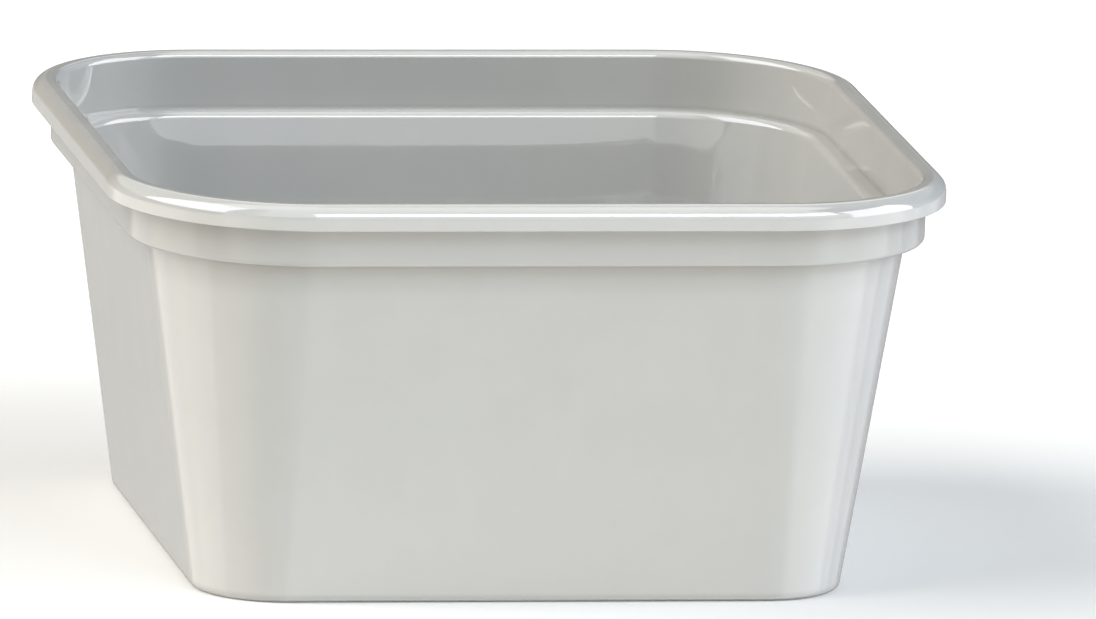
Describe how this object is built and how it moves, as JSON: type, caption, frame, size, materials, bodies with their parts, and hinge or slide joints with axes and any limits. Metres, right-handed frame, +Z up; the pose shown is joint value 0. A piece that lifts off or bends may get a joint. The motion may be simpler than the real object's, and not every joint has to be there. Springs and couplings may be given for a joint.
{
  "type": "resin wash tub",
  "caption": "Open-top square plastic tub with drafted walls, rounded corners, an outward step with an inner ledge, and a rolled rim, for washing resin prints.",
  "frame": {"origin": "centre of the base, on the plane the tub stands on", "axes": "+Z up through the open mouth; X and Y along the two pairs of sides, which are alike"},
  "size_m": [0.25, 0.25, 0.1239],
  "materials": {
    "tub_plastic": "glossy off-white moulded plastic, smooth inside and out"
  },
  "bodies": {
    "root": {"wash_tub": "tub_plastic"}
  },
  "joints": []
}
